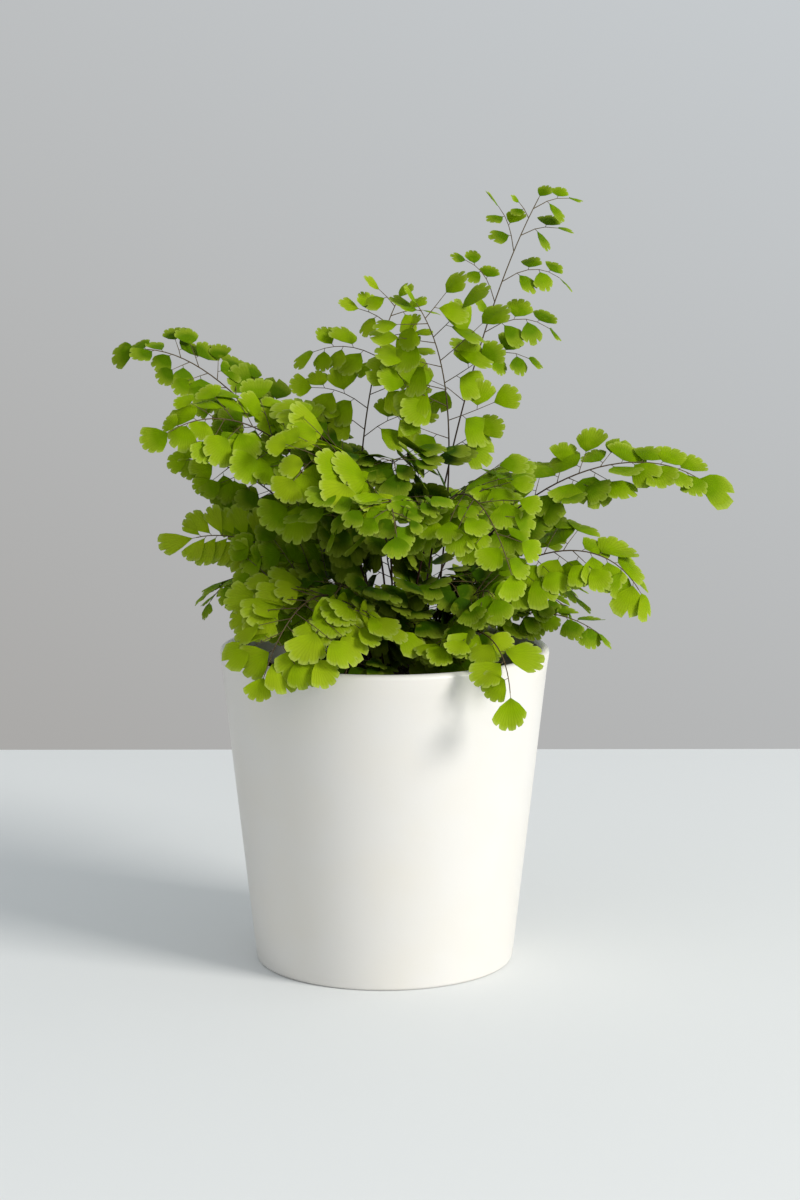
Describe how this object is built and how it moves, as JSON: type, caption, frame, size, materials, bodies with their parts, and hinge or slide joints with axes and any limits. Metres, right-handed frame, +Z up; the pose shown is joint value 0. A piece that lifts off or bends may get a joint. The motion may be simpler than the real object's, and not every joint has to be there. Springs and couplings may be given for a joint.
{
  "type": "potted maidenhair fern",
  "caption": "Delicate potted fern with arching, fan-leafleted fronds on dark wiry stalks, in a plain tapered round ceramic pot; decorative house plant.",
  "frame": {"origin": "middle of the pot's underside, on the surface that it stands on", "axes": "+Z up, out of the pot; -Y towards the viewer; +X to the viewer's right"},
  "size_m": [0.2081, 0.1709, 0.2808],
  "materials": {
    "pot_glaze": "smooth white satin glaze",
    "potting_soil": "dark crumbly potting soil",
    "rhizome": "dark brown scaly rhizome",
    "leaf": "thin yellow-green leaf, softly shiny, lets light through",
    "stalk": "thin wiry stalk, dark brown to black, smooth"
  },
  "bodies": {
    "root": {"pot": "pot_glaze", "soil": "potting_soil", "rhizome": "rhizome", "frond_tall": "leaf", "frond_left_mast": "leaf", "frond_centre": "leaf", "frond_front_fan": "leaf", "frond_to_front_right": "leaf", "frond_to_front": "leaf", "frond_left_fan": "leaf", "frond_far_left": "leaf", "frond_left_olive": "leaf", "frond_left_comb": "leaf", "frond_left_low": "leaf", "frond_over_rim_left": "leaf", "frond_far_right": "leaf", "frond_right_arch": "leaf", "frond_right_behind": "leaf", "frond_rim_right": "leaf", "frond_over_rim_right": "leaf", "frond_right_front": "leaf", "frond_right_low": "leaf", "frond_small_front": "leaf", "frond_middle": "leaf", "frond_middle_left": "leaf", "frond_inner_left": "leaf", "frond_inner_right": "leaf", "frond_inner": "leaf", "frond_back_left": "leaf", "frond_back": "leaf", "frond_back_right": "leaf", "frond_back_far_left": "leaf", "frond_back_far_right": "leaf", "frond_back_low_left": "leaf", "frond_back_low_right": "leaf"}
  },
  "joints": []
}
